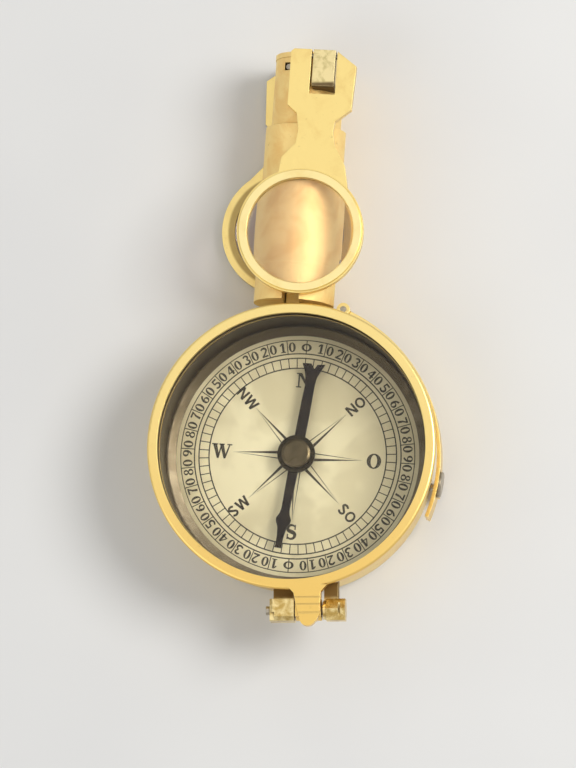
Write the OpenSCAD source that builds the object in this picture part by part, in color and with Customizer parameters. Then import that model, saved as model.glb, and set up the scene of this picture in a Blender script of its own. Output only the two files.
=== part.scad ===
// Field compass with a folding column, a drawn tube and two lens arms.
// Millimetres, Z up, lying on the back of its case with the column towards +Y.

/* [Case] */
// Outer radius of the case wall
case_r = 21.45; // [19:0.05:24]
// Thickness of the case wall
case_wall = 0.6; // [0.5:0.05:0.8]
// Height of the case wall
case_h = 13.55; // [12.5:0.05:16]
// Thickness of the case floor
floor_t = 1.0; // [0.8:0.05:1.1]
// Radius of the rounded lower edge of the case
case_edge = 1.6; // [1:0.1:2]

/* [Bezel] */
// Clearance between the case wall and the bezel skirt
bezel_gap = 0.35; // [0.3:0.05:0.5]
// Thickness of the bezel skirt
skirt_t = 0.5; // [0.4:0.05:0.7]
// How far the bead stands out from the skirt
bezel_bead = 0.4; // [0.3:0.05:0.5]
// Width of the bezel ring over the glass
bezel_lip = 0.7; // [0.5:0.05:1.2]
// Thickness of the bezel ring over the glass
flange_t = 0.8; // [0.6:0.05:0.9]
// Height of the upper face of the bezel above the case wall
bezel_rise = 2.45; // [2.2:0.05:2.6]
// Height of the outer bead
bead_h = 1.4; // [1.1:0.05:1.5]
// Rounding of the outer bead
bead_round = 0.45; // [0.3:0.05:0.5]
// Thickness of the glass
glass_t = 1.0; // [0.8:0.05:1.1]
// Depth of the bezel hinge pin below the top of the case wall
bez_pin_drop = 1.2; // [1.1:0.05:1.3]
// Distance of the bezel hinge pin from the case wall
bez_pin_reach = 4.15; // [3.9:0.05:4.6]
// Radius of the bezel hinge pin
bez_pin_r = 0.7; // [0.5:0.05:0.8]
// Radius of the middle knuckle of the bezel
barrel_r = 1.65; // [1.4:0.05:1.8]

/* [Dial] */
// Height of the upper face of the dial
dial_z = 4.5; // [4.2:0.05:5]
// Thickness of the dial
dial_t = 0.45; // [0.3:0.05:0.6]
// Width of the sloped ring around the dial
dial_rim = 1.55; // [1.3:0.05:2]

/* [Needle] */
// Gap between the dial and the needle
needle_lift = 1.8; // [1.6:0.05:2.2]
// Thickness of the needle
needle_t = 0.35; // [0.25:0.05:0.5]
// Length of the north end of the needle
needle_n = 14.9; // [13:0.1:16.5]
// Length of the south end of the needle
needle_s = 15.2; // [14:0.1:16.5]
// Direction of the needle, clockwise from the column side
needle_turn = 11.1; // [0:0.1:30]
// Radius of the hub washer
hub_r = 3.0; // [2.6:0.1:3.6]
// Radius of the needle cap
cap_r = 2.3; // [2:0.1:2.5]

/* [Arrest] */
// Slope of the lifter bevel
bevel_deg = 40; // [38:1:42]
// Radius of the push pin of the arrest strip
push_r = 0.6; // [0.5:0.05:0.65]
// Thickness of the arrest strip
strip_t = 0.6; // [0.5:0.05:0.7]
// Distance of the arrest strip from the case wall, to its outer face
strip_reach = 4.35; // [4.2:0.05:4.8]
// Lower edge of the arrest strip
strip_z = 4.6; // [4.2:0.1:5]
// Height of the arrest strip
strip_h = 4.8; // [4.2:0.1:5.2]
// Radius of the arrest knob
knob_r = 2.05; // [1.7:0.05:2.3]
// Thickness of the arrest knob
knob_t = 0.5; // [0.4:0.05:0.8]

/* [Column] */
// Turn of the column, clockwise seen from above
col_turn = 4; // [3:0.5:5]
// Distance of the column hinge from the case wall
fold_reach = 5.85; // [5.8:0.05:6.4]
// Clearance between the hinge knuckle of the column and the front arm
knuckle_gap = 0.6; // [0.5:0.05:0.8]
// Outer radius of the draw tube
draw_r = 5.5; // [5:0.05:6]
// Wall of the draw tube
draw_wall = 0.6; // [0.5:0.05:0.8]
// Wall of the sleeve
sleeve_wall = 0.8; // [0.6:0.05:0.9]
// Mouth of the sleeve, measured from the column hinge
mouth_u = 24.3; // [22:0.1:27]
// Top of the end cap, measured from the column hinge
cap_u = 36.1; // [33:0.05:40]
// Width of the hinge lug of the column
lug_w = 2.2; // [1.8:0.1:2.5]
// Radius of the column hinge pin
fold_pin_r = 0.6; // [0.4:0.05:0.7]

/* [Lens arms] */
// Clearance between the arms and the sleeve
arm_gap = 0.25; // [0.2:0.05:0.5]
// Thickness of the arms
arm_t = 1.5; // [1.3:0.05:1.8]
// Radius of the lens openings
lens_open_r = 8.0; // [7:0.1:9]
// Width of the lens rings
ring_w = 2.0; // [1.6:0.1:2.4]
// Sideways place of the front lens
front_lens_x = 1.0; // [0.5:0.1:2]
// Sideways place of the back lens
back_lens_x = 2.9; // [2:0.1:3.5]
// Rise of the domed side of the lenses
lens_rise = 0.8; // [0.6:0.05:1]
// Radius of the arm hinge pins
arm_pin_r = 0.4; // [0.3:0.05:0.45]
// Width of the tongues
tongue_w = 3.5; // [3:0.1:3.8]

/* [Hidden] */
$fn = 96;
eps = 0.01;
big = 60;
run_gap = 0.05;
side_gap = 0.25;
seat_gap = 0.02;
// Case and bezel
case_in = case_r - case_wall;
skirt_in = case_r + bezel_gap;
skirt_out = skirt_in + skirt_t;
skirt_mid = skirt_in + skirt_t / 2;
skirt_z = case_h - 0.95;
bezel_r = skirt_out + bezel_bead;
bezel_open_r = skirt_in - bezel_lip;
bezel_top = case_h + bezel_rise;
flange_z = bezel_top - flange_t;
bead_z = bezel_top - bead_h;
glass_r = skirt_in - seat_gap;
glass_z = flange_z - glass_t;
keeper_z = case_h + 0.05;
keeper_in = bezel_open_r - 0.1;
// South hinge
bez_pin_y = case_r + bez_pin_reach;
bez_pin_z = case_h - bez_pin_drop;
bez_pin_head = 0.65;
lug_l0 = -3.55;
lug_l1 = 0.3;
lug_r0 = 4.8;
lug_r1 = 8.3;
nut_wall = 0.6;
tab_l = lug_l1 + side_gap;
tab_r = lug_r0 - side_gap;
lug_half = 1.7;
neck_z0 = bez_pin_z - 2.35;
neck_z1 = skirt_z - 0.2;
groove = 0.24;
// Dial group
dial_r = case_in - dial_rim;
seat_in = dial_r - 0.9;
needle_z = dial_z + needle_lift;
washer_t = 0.3;
point_r = 0.3;
point_drop = 1.1;
post_r = 1.0;
post_foot_r = 2.6;
post_foot_t = 0.6;
sleeve_hole = 2.1;
lift_r = post_r + run_gap;
lift_out = 1.8;
// Arrest group, angles clockwise from +Y
push_deg = 103;
bevel_x = case_in - 2.45;
bevel_z = 2.5;
tip_gap = 0.05;
tip_x = bevel_x + (push_r + tip_gap) * sin(bevel_deg);
tip_z = bevel_z - (push_r + tip_gap) * cos(bevel_deg);
arm_z0 = 2.5;
arm_z1 = 3.1;
foot_low = 1.7;
guide_x = bevel_x - 4.9;
strip_c = 2.9;
strip_c_deg = 75;
strip_out = case_r + strip_reach;
strip_in = strip_out - strip_t;
strip_mid = strip_out - strip_t / 2;
strip_a0 = 24.4;
strip_a1 = 112.7;
push_end = case_r + 1.85;
foot_deg = 100;
foot_half = 1.55;
foot_z = 1.3;
eye_r = 0.95;
eye_in = 0.1;
eye_pin_r = 0.5;
eye_x = strip_mid * sin(strip_a0) - strip_c * sin(strip_c_deg);
eye_y = strip_mid * cos(strip_a0) - strip_c * cos(strip_c_deg);
eye_deg = 19;
ear_r = eye_r + eye_in;
ear_t = 0.8;
ear_gap = 0.15;
stud_r = 0.7;
knob_z = strip_z + strip_h / 2;
// Column group, u along the column, z from the column axis
sleeve_in = draw_r + run_gap;
sleeve_r = sleeve_in + sleeve_wall;
draw_in = draw_r - draw_wall;
arm_off = sleeve_r + arm_gap;
arm_mid = arm_off + arm_t / 2;
arm_out = arm_off + arm_t;
keep_top = arm_out + 0.3;
rest_gap = 0.4;
tube_z = keep_top + rest_gap;
fold_y = case_r + fold_reach;
knuckle_r = 1.2;
hinge_up = arm_off - knuckle_gap - knuckle_r;
fold_z = tube_z + hinge_up;
base_u = -3.2;
plug_u = 2.2;
spigot_u = 5.0;
screw_u = 3.6;
screw_r = 0.6;
screw_in = 3.6;
column_pin_half = 3.3;
lug_gap = 0.25;
foot_z0 = -6.6;
foot_z1 = -3.4;
guide_u0 = 5.1;
guide_u1 = 7.4;
guide_step = 0.4;
block_u = cap_u - 6.2;
cap_t = 0.8;
cap_disc_r = draw_r + 0.1;
tongue_x = 2.93;
tongue_root = 1.5;
tongue_u = cap_u - 6.0;
arm_top_u = cap_u - 0.15;
arm_pin_u = cap_u - 1.1;
notch_u = cap_u - 7.3;
notch_gap = 0.3;
notch_half = tongue_w / 2 + notch_gap;
arm_pin_a = -1.9;
arm_pin_b = 7.3;
hole_x = -3.0;
hole_u = cap_u - 2.3;
hole_half = 0.65;
set_screw_r = 0.45;
// Lens arms
ring_r = lens_open_r + ring_w;
lens_u = base_u + ring_r;
lens_r = lens_open_r + 0.4;
recess_r = lens_open_r + 0.45;
dome_base = lens_open_r - seat_gap;
lip_t = 0.3;
lens_edge = 0.55;
dome_r = (dome_base * dome_base + lens_rise * lens_rise) / (2 * lens_rise);
arm_len = arm_pin_u - lens_u;
// Outline of an arm: place sideways, and height as a part of the way from the lens to the pin
arm_right = [[4.7, 1.034], [8.1, 0.947], [7.75, 0.699], [6.3, 0.656], [5.3, 0.628], [5.1, 0.571], [5.5, 0.489],
             [6.5, 0.433], [7.3, 0.383], [8.0, 0.255]];
arm_left = [[-3.2, 0.255], [-3.05, 0.333], [-2.75, 0.411], [-2.05, 0.44], [-0.7, 0.493], [-0.4, 0.571],
            [-0.85, 0.667], [-2.4, 0.713], [-2.4, 1.018], [-1.9, 1.034]];

// Right half of the needle, north end first
north_right = [[0.22, needle_n], [0.28, needle_n - 2.0], [0.95, needle_n - 0.25], [1.75, needle_n - 0.1],
               [0.42, needle_n - 3.4], [0.75, 2.3], [2.1, 1.2]];
south_right = [[2.1, -1.2], [0.75, -2.3], [0.4, -9.0], [1.1, -10.9], [0.45, -12.8], [0.5, -needle_s]];
function mirrored(side) = [for (k = [len(side) - 1:-1:0]) [-side[k][0], side[k][1]]];

brass = [0.86, 0.72, 0.38];
brass_dark = [0.62, 0.48, 0.24];
steel = [0.6, 0.6, 0.62];
blue_steel = [0.12, 0.13, 0.2];
clear = [0.8, 0.9, 0.9, 0.4];
silver = [0.86, 0.84, 0.76];
bronze = [0.35, 0.28, 0.18];

// Turns a part laid along +X to an angle clockwise from +Y
module at_clock(deg) {
    rotate([0, 0, 90 - deg])
        children();
}

// Frame of the column hinge: X along the pin, Y along the column, origin on the pin
module hinge_frame() {
    translate([0, fold_y, fold_z])
        rotate([0, 0, -col_turn])
            children();
}

// Frame of the column axis
module tube_frame() {
    hinge_frame()
        translate([0, 0, -hinge_up])
            children();
}

// Round bar along Y from a to b
module bar_y(r, a, b) {
    translate([0, a, 0])
        rotate([-90, 0, 0])
            cylinder(r = r, h = b - a);
}

// Round bar along X from a to b
module bar_x(r, a, b) {
    translate([a, 0, 0])
        rotate([0, 90, 0])
            cylinder(r = r, h = b - a);
}

module span(x0, x1, y0, y1, z0, z1) {
    translate([x0, y0, z0])
        cube([x1 - x0, y1 - y0, z1 - z0]);
}

module tube(r_out, r_in, z0, z1) {
    difference() {
        translate([0, 0, z0])
            cylinder(r = r_out, h = z1 - z0);
        translate([0, 0, z0 - 1])
            cylinder(r = r_in, h = z1 - z0 + 2);
    }
}

module push_window(half_low, half_high, x0, z_top) {
    at_clock(push_deg)
        span(x0, case_r + 1, -half_high, half_low, floor_t + eps, z_top);
}

module case_profile() {
    difference() {
        union() {
            translate([0, case_edge])
                square([case_r, case_h - case_edge]);
            square([case_r - case_edge, case_h]);
            translate([case_r - case_edge, case_edge])
                circle(r = case_edge);
        }
        translate([-1, floor_t])
            square([case_in + 1, case_h]);
    }
}

module case_shell() {
    color(brass)
        difference() {
            rotate_extrude()
                case_profile();
            push_window(1.1, 1.8, seat_in, 2.95);
        }
}

module dial_seat() {
    color(brass_dark)
        difference() {
            tube(case_in - seat_gap, seat_in, floor_t, dial_z - dial_t);
            push_window(2.6, 2.6, seat_in - 2, dial_z);
        }
}

module dial() {
    color(silver)
        tube(dial_r, sleeve_hole, dial_z - dial_t, dial_z);
}

module dial_ring() {
    color(brass)
        rotate_extrude()
            polygon([[dial_r + seat_gap, dial_z - dial_t], [case_in - seat_gap, dial_z - dial_t],
                     [case_in - seat_gap, dial_z + 0.8], [case_in - 0.35, dial_z + 0.8],
                     [dial_r + seat_gap, dial_z + 0.15]]);
}

module pivot_post() {
    color(brass_dark)
        union() {
            translate([0, 0, floor_t])
                cylinder(r = post_r, h = needle_z - point_drop - floor_t);
            translate([0, 0, floor_t])
                cylinder(r = post_foot_r, h = post_foot_t);
        }
}

module pivot_point() {
    color(steel)
        translate([0, 0, needle_z - point_drop])
            union() {
                cylinder(r = point_r, h = point_drop + 0.1);
                translate([0, 0, point_drop + 0.1])
                    cylinder(r1 = point_r, r2 = 0.02, h = 0.8);
            }
}

module arm_guide() {
    color(brass_dark)
        at_clock(push_deg)
            difference() {
                span(guide_x, guide_x + 2, -1.9, 1.9, floor_t, dial_z - dial_t - 0.1);
                span(guide_x - 1, guide_x + 3, -1.28, 1.28, floor_t + 0.5, dial_z);
            }
}

module north_lug() {
    color(brass)
        difference() {
            hinge_frame()
                difference() {
                    union() {
                        span(-lug_w / 2, lug_w / 2, -fold_reach - 1.15, knuckle_r, foot_z0, foot_z1);
                        span(-lug_w / 2, lug_w / 2, -knuckle_r, knuckle_r, foot_z0, 0);
                        bar_x(knuckle_r, -lug_w / 2, lug_w / 2);
                    }
                    bar_x(fold_pin_r + run_gap, -lug_w, lug_w);
                }
            translate([0, 0, -1])
                cylinder(r = case_r, h = big);
        }
}

module lug_neck(x0, x1) {
    difference() {
        span(x0, x1, -bez_pin_y, -case_r + 1.2, neck_z0, neck_z1);
        translate([0, 0, -1])
            cylinder(r = case_r, h = big);
    }
}

module lug_left() {
    color(brass)
        difference() {
            union() {
                lug_neck(lug_l0 + 0.5, lug_l1 - 0.2);
                translate([0, -bez_pin_y, bez_pin_z])
                    span(lug_l0, lug_l1, -lug_half, lug_half, -lug_half, lug_half);
            }
            // Bevels of the outer end and the step of the upper face
            translate([lug_l0, -bez_pin_y, bez_pin_z + lug_half])
                rotate([0, 45, 0])
                    cube([0.7, 4, 0.7], center = true);
            translate([0, -bez_pin_y - lug_half, bez_pin_z + lug_half])
                rotate([45, 0, 0])
                    cube([9, 0.9, 0.9], center = true);
            span(lug_l0 - 1, lug_l0 + 0.75, -bez_pin_y - 3, -bez_pin_y - 0.4, bez_pin_z + 1.2, bez_pin_z + 3);
            translate([0, -bez_pin_y, bez_pin_z])
                bar_x(bez_pin_r, lug_l0 - 1, lug_l1 + 1);
        }
}

module lug_right() {
    hex_r = 1.95;
    color(brass)
        difference() {
            union() {
                lug_neck(lug_r0 + 0.1, lug_r1 - 1.2);
                translate([lug_r0 + 0.5, -bez_pin_y, bez_pin_z])
                    rotate([0, 90, 0])
                        linear_extrude(height = lug_r1 - lug_r0 - 0.5)
                            polygon([for (k = [0:5]) [hex_r * cos(60 * k), hex_r * sin(60 * k)]]);
                translate([0, -bez_pin_y, bez_pin_z])
                    bar_x(1.5, lug_r0, lug_r0 + 0.6);
            }
            // Groove across the end of the nut shaped lug
            span(lug_r1 - 1.1, lug_r1 - 0.75, -bez_pin_y - 3, -bez_pin_y + 3, bez_pin_z + 1.35, bez_pin_z + 3);
            translate([0, -bez_pin_y, bez_pin_z])
                bar_x(bez_pin_r, lug_r0 - 1, lug_r1 - nut_wall);
        }
}

module bezel_pin() {
    color(steel)
        translate([0, -bez_pin_y, bez_pin_z])
            bar_x(bez_pin_r, lug_l0 - bez_pin_head, lug_r1 - nut_wall);
}

module strip_bracket() {
    ear_z0 = strip_z - ear_gap - ear_t;
    ear_z1 = strip_z + strip_h + ear_gap;
    color(brass)
        difference() {
            union() {
                for (z0 = [ear_z0, ear_z1])
                    translate([0, 0, z0]) {
                        at_clock(eye_deg)
                            span(case_r - 1, norm([eye_x, eye_y]), -eye_r, eye_r, 0, ear_t);
                        translate([eye_x, eye_y, eye_in])
                            cylinder(r = ear_r, h = ear_t - 2 * eye_in);
                    }
                at_clock(eye_deg)
                    span(case_r - 1, case_r + 0.6, -ear_r, ear_r, ear_z0 + eye_in, ear_z1 + ear_t - eye_in);
            }
            translate([0, 0, -1])
                cylinder(r = case_r, h = big);
            translate([eye_x, eye_y, -1])
                cylinder(r = eye_pin_r, h = big);
        }
}

module strip_pin() {
    color(steel)
        translate([eye_x, eye_y, strip_z - ear_gap - ear_t])
            cylinder(r = eye_pin_r, h = strip_h + 2 * (ear_gap + ear_t));
}

module bezel_profile() {
    bead_x = bezel_r - bead_round;
    union() {
        translate([bezel_open_r, flange_z])
            square([bead_x - bezel_open_r, bezel_top - flange_z]);
        translate([skirt_in, skirt_z])
            square([skirt_out - skirt_in, flange_z + eps - skirt_z]);
        translate([skirt_in, bead_z])
            square([bead_x - skirt_in, bezel_top - bead_z]);
        translate([bead_x - eps, bead_z + bead_round])
            square([bead_round + eps, bezel_top - bead_z - 2 * bead_round]);
        for (z = [bead_z + bead_round, bezel_top - bead_round])
            translate([bead_x, z])
                circle(r = bead_round);
    }
}

module tab_outline() {
    root_y = -skirt_out + 1.8;
    waist_y = -bez_pin_y + 2.1;
    brow_y = -bez_pin_y - 1.1;
    tip_y = -bez_pin_y - 2.1;
    difference() {
        union() {
            polygon([[tab_l - 0.1, root_y], [tab_l - 0.1, waist_y], [tab_l + 0.6, brow_y],
                     [tab_l + 1.0, tip_y], [tab_r - 0.6, tip_y], [tab_r - 0.1, brow_y],
                     [tab_r + 0.1, waist_y], [tab_r + 0.1, root_y]]);
            translate([tab_r - 1.95, tip_y + 0.55])
                circle(r = 1.3);
            // Filled corners where the tab leaves the ring
            polygon([[tab_l - 1.3, -skirt_out + 0.3], [tab_r + 1.1, -skirt_out + 0.3],
                     [tab_r + 0.1, -skirt_out - 0.8], [tab_l - 0.1, -skirt_out - 1.0]]);
        }
        circle(r = skirt_mid);
    }
}

module bezel() {
    color(brass)
        difference() {
            union() {
                rotate_extrude()
                    bezel_profile();
                translate([0, 0, bead_z])
                    linear_extrude(height = bezel_top - bead_z)
                        tab_outline();
                difference() {
                    union() {
                        span(tab_l, tab_r, -bez_pin_y - 1.2, -skirt_in + 0.5, bez_pin_z + 0.6, bead_z + 0.2);
                        translate([0, -bez_pin_y, bez_pin_z])
                            bar_x(barrel_r, tab_l, tab_r);
                    }
                    cylinder(r = skirt_in, h = bezel_top);
                }
            }
            translate([0, -bez_pin_y, bez_pin_z])
                bar_x(bez_pin_r + run_gap, tab_l - 1, tab_r + 1);
            // Three grip lines across the tab
            for (y = [1.65, 0.55, -0.8])
                translate([0, y - bez_pin_y, 0])
                    span(tab_l - 1, tab_r + 1, -groove / 2, groove / 2, bezel_top - groove / 2, bezel_top + 1);
        }
}

module glass() {
    color(clear)
        translate([0, 0, glass_z])
            cylinder(r = glass_r, h = glass_t);
}

module glass_keeper() {
    color(brass_dark)
        tube(glass_r, keeper_in, keeper_z, glass_z);
}

module needle() {
    color(blue_steel)
        rotate([0, 0, -needle_turn])
            translate([0, 0, needle_z])
                difference() {
                    linear_extrude(height = needle_t)
                        polygon(concat(north_right, south_right, mirrored(south_right), mirrored(north_right)));
                    translate([0, 0, -1])
                        cylinder(r = 0.9, h = 3);
                }
}

module needle_hub() {
    color(bronze)
        tube(hub_r, 0.9, needle_z + needle_t, needle_z + needle_t + washer_t);
}

module needle_cap() {
    z1 = needle_z + needle_t + washer_t;
    color(bronze)
        difference() {
            union() {
                translate([0, 0, needle_z])
                    cylinder(r = 0.88, h = z1 - needle_z + eps);
                translate([0, 0, z1])
                    cylinder(r = cap_r, h = 0.65);
                translate([0, 0, z1 + 0.65])
                    cylinder(r1 = cap_r, r2 = cap_r - 0.4, h = 0.2);
            }
            translate([0, 0, needle_z - eps])
                cylinder(r1 = 0.7, r2 = 0.05, h = 0.96);
        }
}

module lifter_sleeve() {
    color(brass)
        tube(lift_out, lift_r, arm_z0 - 0.3, needle_z - 0.1);
}

module lifter_arm() {
    color(brass)
        at_clock(push_deg)
            difference() {
                union() {
                    span(0, bevel_x + 0.7, -1.2, 1.2, arm_z0, arm_z1);
                    span(bevel_x - 1.5, bevel_x + 0.7, -1.8, 1.8, foot_low, arm_z1);
                }
                translate([0, 0, -1])
                    cylinder(r = lift_out, h = big);
                translate([bevel_x, 0, bevel_z])
                    rotate([0, -bevel_deg, 0])
                        span(-3, 3, -3, 3, -4, 0);
            }
}

module strip_centre() {
    at_clock(strip_c_deg)
        translate([-strip_c, 0, 0])
            rotate([0, 0, strip_c_deg - 90])
                children();
}

module strip_band(a0, a1, z0, z1) {
    strip_centre()
        rotate([0, 0, 90 - a1])
            rotate_extrude(angle = a1 - a0)
                translate([strip_in, z0])
                    square([strip_t, z1 - z0]);
}

module arrest_strip() {
    color(brass)
        difference() {
            union() {
                strip_band(strip_a0, strip_a1, foot_z, strip_z + strip_h);
                translate([eye_x, eye_y, strip_z + eye_in])
                    cylinder(r = eye_r, h = strip_h - 2 * eye_in);
            }
            // Only the foot reaches below the strip
            strip_centre()
                at_clock(foot_deg)
                    for (s = [-1, 1])
                        translate([0, s * (foot_half + big / 2), strip_z / 2 - 1])
                            cube([2 * big, big, strip_z + 2], center = true);
            translate([eye_x, eye_y, 0])
                cylinder(r = eye_pin_r + run_gap, h = big);
            at_clock(push_deg)
                translate([0, 0, tip_z])
                    bar_x(push_r, case_r, strip_out + 2);
            strip_centre()
                at_clock(foot_deg)
                    translate([0, 0, knob_z])
                        bar_x(stud_r, strip_in - 1, strip_out + 2);
        }
}

module arrest_knob() {
    color(steel)
        strip_centre()
            at_clock(foot_deg)
                translate([0, 0, knob_z]) {
                    bar_x(stud_r, strip_in, strip_out + eps);
                    bar_x(knob_r, strip_out, strip_out + knob_t - 0.15);
                    translate([strip_out + knob_t - 0.15, 0, 0])
                        rotate([0, 90, 0])
                            cylinder(r1 = knob_r, r2 = knob_r - 0.25, h = 0.15);
                }
}

module push_pin() {
    color(steel)
        at_clock(push_deg)
            translate([0, 0, tip_z]) {
                translate([tip_x, 0, 0])
                    sphere(r = push_r);
                bar_x(push_r, tip_x, push_end);
            }
}

module fork_plug() {
    color(brass)
        difference() {
            tube_frame() {
                bar_y(sleeve_r, base_u, plug_u);
                bar_y(draw_r, plug_u - eps, spigot_u);
            }
            hinge_frame() {
                span(-lug_w / 2 - lug_gap, lug_w / 2 + lug_gap, base_u - 1, knuckle_r + 0.4, -big, big);
                bar_x(fold_pin_r, -column_pin_half, column_pin_half);
            }
            tube_frame()
                bar_x(0.5, -big, big);
            tube_frame()
                translate([0, screw_u, 0])
                    bar_x(screw_r, -big, big);
        }
}

module column_sleeve() {
    color(brass)
        tube_frame()
            difference() {
                bar_y(sleeve_r, plug_u, mouth_u);
                bar_y(sleeve_in, plug_u - 1, mouth_u + 1);
                translate([0, screw_u, 0])
                    bar_x(screw_r, -big, big);
            }
}

module column_pin() {
    color(steel)
        hinge_frame()
            bar_x(fold_pin_r, -column_pin_half, column_pin_half);
}

module sleeve_screws() {
    color(steel)
        tube_frame()
            translate([0, screw_u, 0])
                for (s = [0, 180])
                    rotate([0, s, 0])
                        bar_x(screw_r, screw_in, sleeve_r + 0.1);
}

// Cuts the room of the two tongues out of the tube wall and the cap
module tongue_room(grow) {
    half = tongue_w / 2 + grow;
    for (s = [0, 180])
        rotate([0, s, 0])
            translate([tongue_x, 0, 0])
                span(-half, half, tongue_u - grow, cap_u + 1, tongue_root, big);
}

module draw_tube() {
    color(brass)
        tube_frame()
            difference() {
                bar_y(draw_r, guide_u1, cap_u - cap_t);
                bar_y(draw_in, guide_u1 - 1, cap_u);
                tongue_room(seat_gap);
                translate([hole_x, hole_u, 0])
                    span(-hole_half, hole_half, -hole_half, hole_half, 2, big);
            }
}

module guide_ring() {
    color(brass_dark)
        tube_frame()
            difference() {
                bar_y(draw_r, guide_u0, guide_u1);
                bar_y(draw_in - guide_step, guide_u0 - 1, guide_u1 + 1);
            }
}

module end_block() {
    color(brass)
        tube_frame()
            difference() {
                union() {
                    bar_y(draw_in - seat_gap, block_u, cap_u - cap_t);
                    for (s = [0, 180])
                        rotate([0, s, 0])
                            translate([tongue_x, 0, 0])
                                span(-tongue_w / 2, tongue_w / 2, tongue_u, arm_top_u, tongue_root, arm_out);
                }
                for (s = [0, 180])
                    rotate([0, s, 0])
                        translate([0, arm_pin_u, arm_mid])
                            bar_x(arm_pin_r, -big, big);
                translate([hole_x, hole_u, 2])
                    cylinder(r = set_screw_r, h = 8);
            }
}

module end_cap() {
    color(brass)
        tube_frame()
            difference() {
                bar_y(cap_disc_r, cap_u - cap_t, cap_u);
                tongue_room(seat_gap);
            }
}

module set_screw() {
    color(steel)
        tube_frame()
            translate([hole_x, hole_u, 2])
                cylinder(r = set_screw_r, h = 2.1);
}

module arm_pin() {
    tube_frame()
        translate([0, arm_pin_u, arm_mid])
            bar_x(arm_pin_r, arm_pin_a, arm_pin_b);
}

module front_pin() {
    color(steel)
        arm_pin();
}

// Carries the front group over to the back of the column
module to_back() {
    tube_frame()
        rotate([0, 180, 0])
            children();
}

module back_pin() {
    color(steel)
        to_back()
            translate([0, arm_pin_u, arm_mid])
                bar_x(arm_pin_r, arm_pin_a, arm_pin_b);
}

// Point of the outline, leaned over towards a lens that lies further out
function arm_point(p, lean) = [p[0] + lean * max(0, 0.716 - p[1]) * 1.41, lens_u + p[1] * arm_len];

module arm_plate(lens_x) {
    lean = lens_x - front_lens_x;
    difference() {
        union() {
            translate([0, 0, arm_off])
                linear_extrude(height = arm_t)
                    polygon([for (p = concat(arm_right, arm_left)) arm_point(p, lean)]);
            translate([lens_x, lens_u, arm_off])
                cylinder(r = ring_r, h = arm_t);
        }
        translate([lens_x, lens_u, 0])
            cylinder(r = lens_open_r, h = big);
        translate([tongue_x, notch_u, 0])
            span(-notch_half, notch_half, 0, big, 0, big);
        translate([lens_x, lens_u, arm_off + lip_t])
            cylinder(r = recess_r, h = 5);
        translate([0, arm_pin_u, arm_mid])
            bar_x(arm_pin_r + run_gap, -big, big);
    }
}

module lens_body(lens_x) {
    z0 = arm_off + lip_t;
    translate([lens_x, lens_u, z0]) {
        cylinder(r = lens_r, h = lens_edge);
        intersection() {
            translate([0, 0, lens_edge + lens_rise - dome_r])
                sphere(r = dome_r, $fn = 200);
            translate([0, 0, lens_edge - eps])
                cylinder(r = dome_base, h = lens_rise + 1);
        }
    }
}

module lens_keeper(lens_x) {
    z0 = arm_off + lip_t + lens_edge + seat_gap;
    translate([lens_x, lens_u, 0])
        rotate_extrude()
            union() {
                translate([lens_open_r, z0])
                    square([recess_r - seat_gap - lens_open_r, arm_out + eps - z0]);
                polygon([[lens_open_r, arm_out], [ring_r - 0.3, arm_out], [ring_r - 0.45, keep_top], [lens_open_r + 0.15, keep_top]]);
            }
}

module front_arm() {
    color(brass)
        tube_frame()
            arm_plate(front_lens_x);
}

module front_lens() {
    color(clear)
        tube_frame()
            lens_body(front_lens_x);
}

module front_keeper() {
    color(brass)
        tube_frame()
            lens_keeper(front_lens_x);
}

module back_arm() {
    color(brass)
        to_back()
            arm_plate(back_lens_x);
}

module back_lens() {
    color(clear)
        to_back()
            lens_body(back_lens_x);
}

module back_keeper() {
    color(brass)
        to_back()
            lens_keeper(back_lens_x);
}

case_shell();
dial_seat();
dial();
dial_ring();
pivot_post();
pivot_point();
arm_guide();
north_lug();
lug_left();
lug_right();
bezel_pin();
strip_bracket();
strip_pin();
bezel();
glass();
glass_keeper();
needle();
needle_hub();
needle_cap();
lifter_sleeve();
lifter_arm();
arrest_strip();
arrest_knob();
push_pin();
fork_plug();
column_sleeve();
column_pin();
sleeve_screws();
draw_tube();
guide_ring();
end_block();
end_cap();
set_screw();
front_pin();
back_pin();
front_arm();
front_lens();
front_keeper();
back_arm();
back_lens();
back_keeper();
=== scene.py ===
# Looks of the field compass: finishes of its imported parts, fittings that stand for some of them,
# the printed dial, the light and the camera
import math

import bmesh
import bpy
from mathutils import Euler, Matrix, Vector


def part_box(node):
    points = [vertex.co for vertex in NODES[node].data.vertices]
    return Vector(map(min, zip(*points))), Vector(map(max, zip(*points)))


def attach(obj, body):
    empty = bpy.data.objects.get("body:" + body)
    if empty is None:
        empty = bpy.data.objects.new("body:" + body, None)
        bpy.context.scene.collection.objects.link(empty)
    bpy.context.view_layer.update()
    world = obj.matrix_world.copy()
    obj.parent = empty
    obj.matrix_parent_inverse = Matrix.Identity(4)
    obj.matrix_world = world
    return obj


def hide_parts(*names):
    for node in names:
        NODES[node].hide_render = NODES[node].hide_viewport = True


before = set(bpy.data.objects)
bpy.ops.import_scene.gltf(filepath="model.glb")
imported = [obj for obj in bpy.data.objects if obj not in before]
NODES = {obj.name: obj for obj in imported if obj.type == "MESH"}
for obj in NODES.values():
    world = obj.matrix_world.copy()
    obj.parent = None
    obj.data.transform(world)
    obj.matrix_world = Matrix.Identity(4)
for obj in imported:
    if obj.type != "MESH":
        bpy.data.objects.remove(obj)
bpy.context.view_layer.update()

MM = 0.001

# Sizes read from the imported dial, in metres
DIAL_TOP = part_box("dial")[1].z
DIAL_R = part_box("dial")[1].x


# Building blocks of shader trees

# The sockets of a mix node that blends two colours: its share, its colours and its result
MIX_SHARE, MIX_FIRST, MIX_SECOND = 0, 6, 7
MIX_RESULT = 2
BEVEL_SAMPLES = 4
CORNER_SAMPLES = 6


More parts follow.
